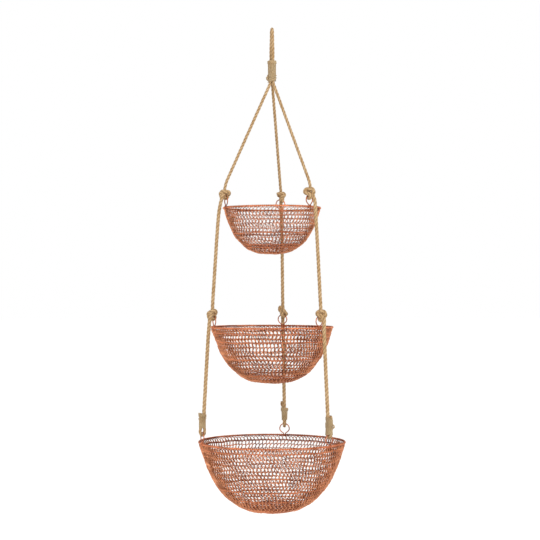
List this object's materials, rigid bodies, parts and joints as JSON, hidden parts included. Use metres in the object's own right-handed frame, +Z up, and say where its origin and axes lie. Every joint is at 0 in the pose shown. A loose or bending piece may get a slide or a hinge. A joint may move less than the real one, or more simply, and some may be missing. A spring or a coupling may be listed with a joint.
{
  "type": "tiered hanging fruit basket",
  "caption": "Hanging fruit basket: crocheted wire bowls of growing size, one above the other, on knotted ropes that meet under a bound rope loop.",
  "frame": {"origin": "where a hook bears, inside the top of the hanging loop, on the basket's vertical axis", "axes": "+Z up; -Y towards the viewer, with one rope at the back, one at the front left and one at the front right"},
  "size_m": [0.3, 0.3043, 0.9917],
  "materials": {
    "rope": "laid three-strand jute rope",
    "twine": "thin pale jute twine",
    "copper_wire": "dull copper wire"
  },
  "bodies": {
    "hanging_loop": {"loop_rope": "rope"},
    "binding": {"binding_twine": "twine", "binding_rope_bundle": "rope"},
    "upper_tier": {"upper_rope_left": "rope", "upper_rope_back": "rope", "upper_rope_right": "rope", "small_bowl_knot_left": "rope", "small_bowl_knot_back": "rope", "small_bowl_knot_right": "rope", "small_bowl_rim": "copper_wire", "small_bowl_mesh": "copper_wire", "small_bowl_ring_left": "copper_wire", "small_bowl_ring_back": "copper_wire", "small_bowl_ring_right": "copper_wire"},
    "middle_rope_left": {"middle_rope_left": "rope"},
    "middle_rope_back": {"middle_rope_back": "rope"},
    "middle_rope_right": {"middle_rope_right": "rope"},
    "middle_tier": {"medium_bowl_knot_left": "rope", "medium_bowl_knot_back": "rope", "medium_bowl_knot_right": "rope", "medium_bowl_rim": "copper_wire", "medium_bowl_mesh": "copper_wire", "medium_bowl_ring_left": "copper_wire", "medium_bowl_ring_back": "copper_wire", "medium_bowl_ring_right": "copper_wire"},
    "lower_rope_left": {"lower_rope_left": "rope"},
    "lower_rope_back": {"lower_rope_back": "rope"},
    "lower_rope_right": {"lower_rope_right": "rope"},
    "lower_tier": {"lower_eye_left": "rope", "lower_eye_back": "rope", "lower_eye_right": "rope", "lower_binding_left": "twine", "lower_binding_back": "twine", "lower_binding_right": "twine", "large_bowl_rim": "copper_wire", "large_bowl_mesh": "copper_wire", "large_bowl_ring_left": "copper_wire", "large_bowl_ring_back": "copper_wire", "large_bowl_ring_right": "copper_wire"}
  },
  "joints": [
    {"name": "swivel", "type": "hinge", "parent": "hanging_loop", "child": "binding", "pos_m": [0, 0, -0.0615], "axis": [0, 0, 1], "range_deg": [-90, 90]},
    {"name": "upper_swing", "type": "hinge", "parent": "binding", "child": "upper_tier", "pos_m": [0, 0, -0.1125], "axis": [0, 1, 0], "range_deg": [-10, 10]},
    {"name": "middle_sway", "type": "hinge", "parent": "upper_tier", "child": "middle_rope_left", "pos_m": [-0.10652, -0.03772, -0.3455], "axis": [0, 1, 0], "range_deg": [-8, 8]},
    {"name": "middle_rope_back_follow", "type": "hinge", "parent": "upper_tier", "child": "middle_rope_back", "pos_m": [0.02059, 0.11111, -0.3455], "axis": [0, 1, 0], "range_deg": [-9, 9]},
    {"name": "middle_rope_right_follow", "type": "hinge", "parent": "upper_tier", "child": "middle_rope_right", "pos_m": [0.08593, -0.07339, -0.3455], "axis": [0, 1, 0], "range_deg": [-9, 9]},
    {"name": "middle_bowl_level", "type": "hinge", "parent": "middle_rope_left", "child": "middle_tier", "pos_m": [-0.12028, -0.04259, -0.56235], "axis": [0, 1, 0], "range_deg": [-9, 9]},
    {"name": "lower_sway", "type": "hinge", "parent": "middle_tier", "child": "lower_rope_left", "pos_m": [-0.12679, -0.0449, -0.5892], "axis": [0, 1, 0], "range_deg": [-8, 8]},
    {"name": "lower_rope_back_follow", "type": "hinge", "parent": "middle_tier", "child": "lower_rope_back", "pos_m": [0.02451, 0.13225, -0.5892], "axis": [0, 1, 0], "range_deg": [-9, 9]},
    {"name": "lower_rope_right_follow", "type": "hinge", "parent": "middle_tier", "child": "lower_rope_right", "pos_m": [0.10228, -0.08735, -0.5892], "axis": [0, 1, 0], "range_deg": [-9, 9]},
    {"name": "lower_bowl_level", "type": "hinge", "parent": "lower_rope_left", "child": "lower_tier", "pos_m": [-0.13701, -0.04852, -0.78115], "axis": [0, 1, 0], "range_deg": [-9, 9]}
  ],
  "couplings": [
    {"joint": "middle_rope_back_follow", "follows": "middle_sway", "ratio": 1},
    {"joint": "middle_rope_right_follow", "follows": "middle_sway", "ratio": 1},
    {"joint": "middle_bowl_level", "follows": "middle_sway", "ratio": -0.88558},
    {"joint": "lower_rope_back_follow", "follows": "lower_sway", "ratio": 1},
    {"joint": "lower_rope_right_follow", "follows": "lower_sway", "ratio": 1},
    {"joint": "lower_bowl_level", "follows": "lower_sway", "ratio": -0.92535}
  ]
}
